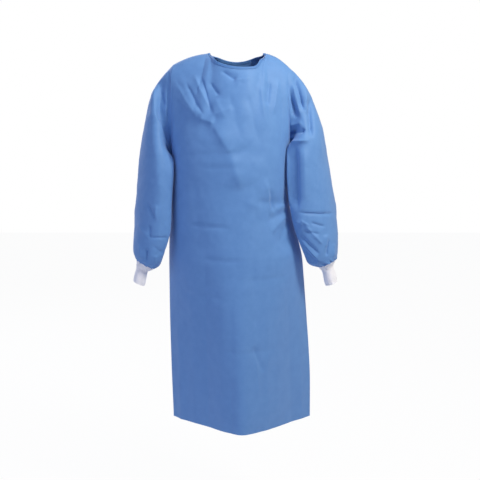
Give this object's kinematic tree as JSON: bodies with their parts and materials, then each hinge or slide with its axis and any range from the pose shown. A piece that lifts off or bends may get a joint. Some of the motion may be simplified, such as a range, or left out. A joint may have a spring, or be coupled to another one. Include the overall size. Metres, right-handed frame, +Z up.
{
  "type": "surgical gown",
  "caption": "Long-sleeved disposable surgical gown, worn and hollow, with knitted cuffs, a high round bound neckline and overlapping tied back panels.",
  "frame": {"origin": "midway between the two points where the neckline meets the shoulder seams, at their height, where the wearer's shoulders hold the gown up", "axes": "+Z up, the front of the gown faces -Y, +X towards the wearer's left arm"},
  "size_m": [0.6208, 0.3389, 1.1138],
  "materials": {
    "nonwoven_cloth": "matte mid-blue non-woven polypropylene with a very slight sheen",
    "knit_rib": "matte pale ribbed knit",
    "binding_tape": "matte blue folded tape",
    "hook_and_loop": "matte white hook-and-loop tape",
    "tie_tape": "matte blue folded tape of the gown's cloth"
  },
  "bodies": {
    "root": {"front": "nonwoven_cloth", "back_right": "nonwoven_cloth", "back_left": "nonwoven_cloth", "sleeve_right": "nonwoven_cloth", "sleeve_left": "nonwoven_cloth", "cuff_right": "knit_rib", "cuff_left": "knit_rib", "neck_binding": "binding_tape", "hook_strip": "hook_and_loop", "loop_strip": "hook_and_loop", "tie_right": "tie_tape", "tie_left": "tie_tape", "tie_tail_right": "tie_tape", "tie_tail_left": "tie_tape", "tie_knot": "tie_tape"}
  },
  "joints": []
}
